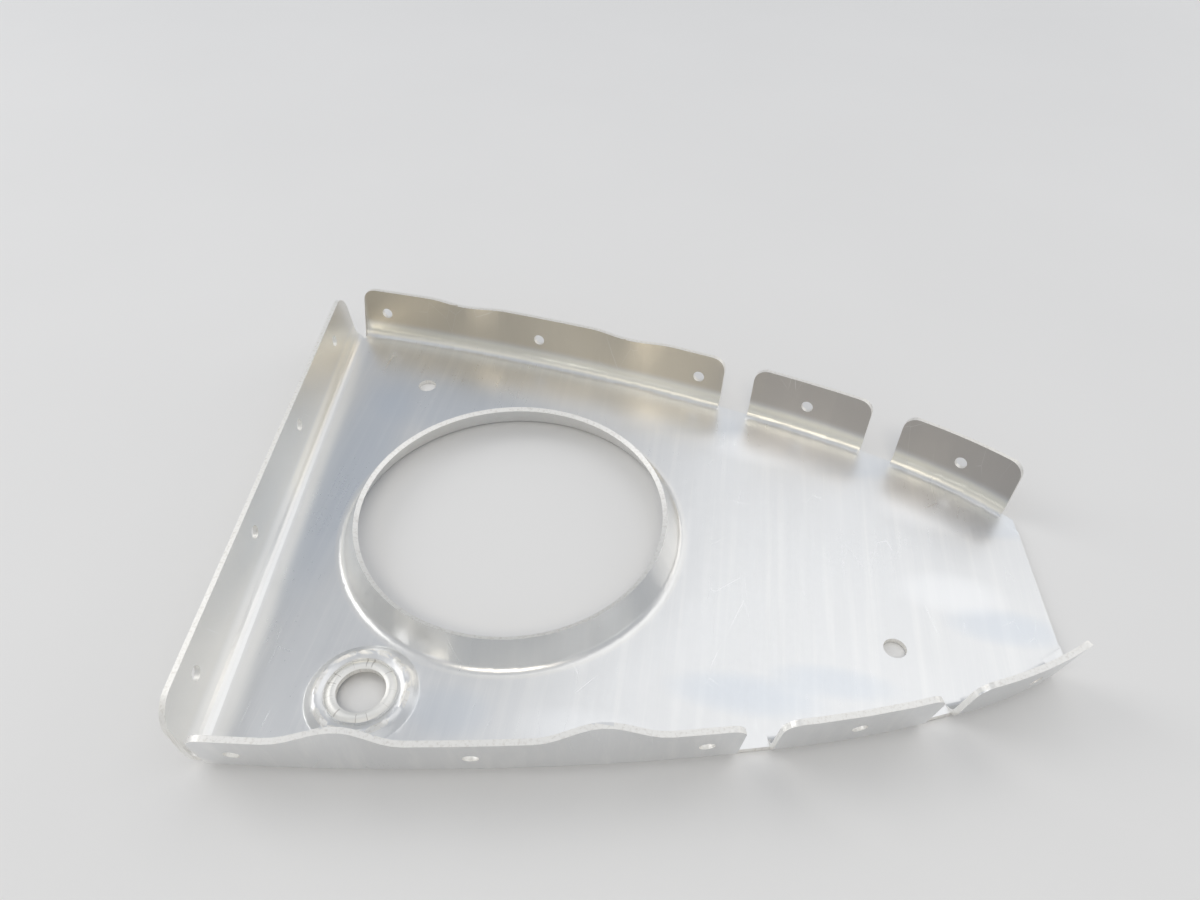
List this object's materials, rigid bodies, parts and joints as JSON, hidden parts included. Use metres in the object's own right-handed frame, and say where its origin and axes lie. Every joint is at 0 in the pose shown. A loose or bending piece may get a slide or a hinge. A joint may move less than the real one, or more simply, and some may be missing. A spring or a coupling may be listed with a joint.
{
  "type": "aircraft wing rib",
  "caption": "Pressed sheet-metal nose rib of an aircraft wing: web with flared lightening hole, notched and fluted skin flanges and a spar flange, drilled for rivets.",
  "frame": {"origin": "centre of the aft tooling hole at the web's underside, which lies on z = 0", "axes": "+X forward along the chord line towards the nose edge, +Y towards the upper skin flange, +Z off the web the way the flanges stand"},
  "size_m": [0.2011, 0.1512, 0.0174],
  "materials": {
    "sheet": "satin rolled sheet"
  },
  "bodies": {
    "root": {"wing_rib": "sheet"}
  },
  "joints": []
}
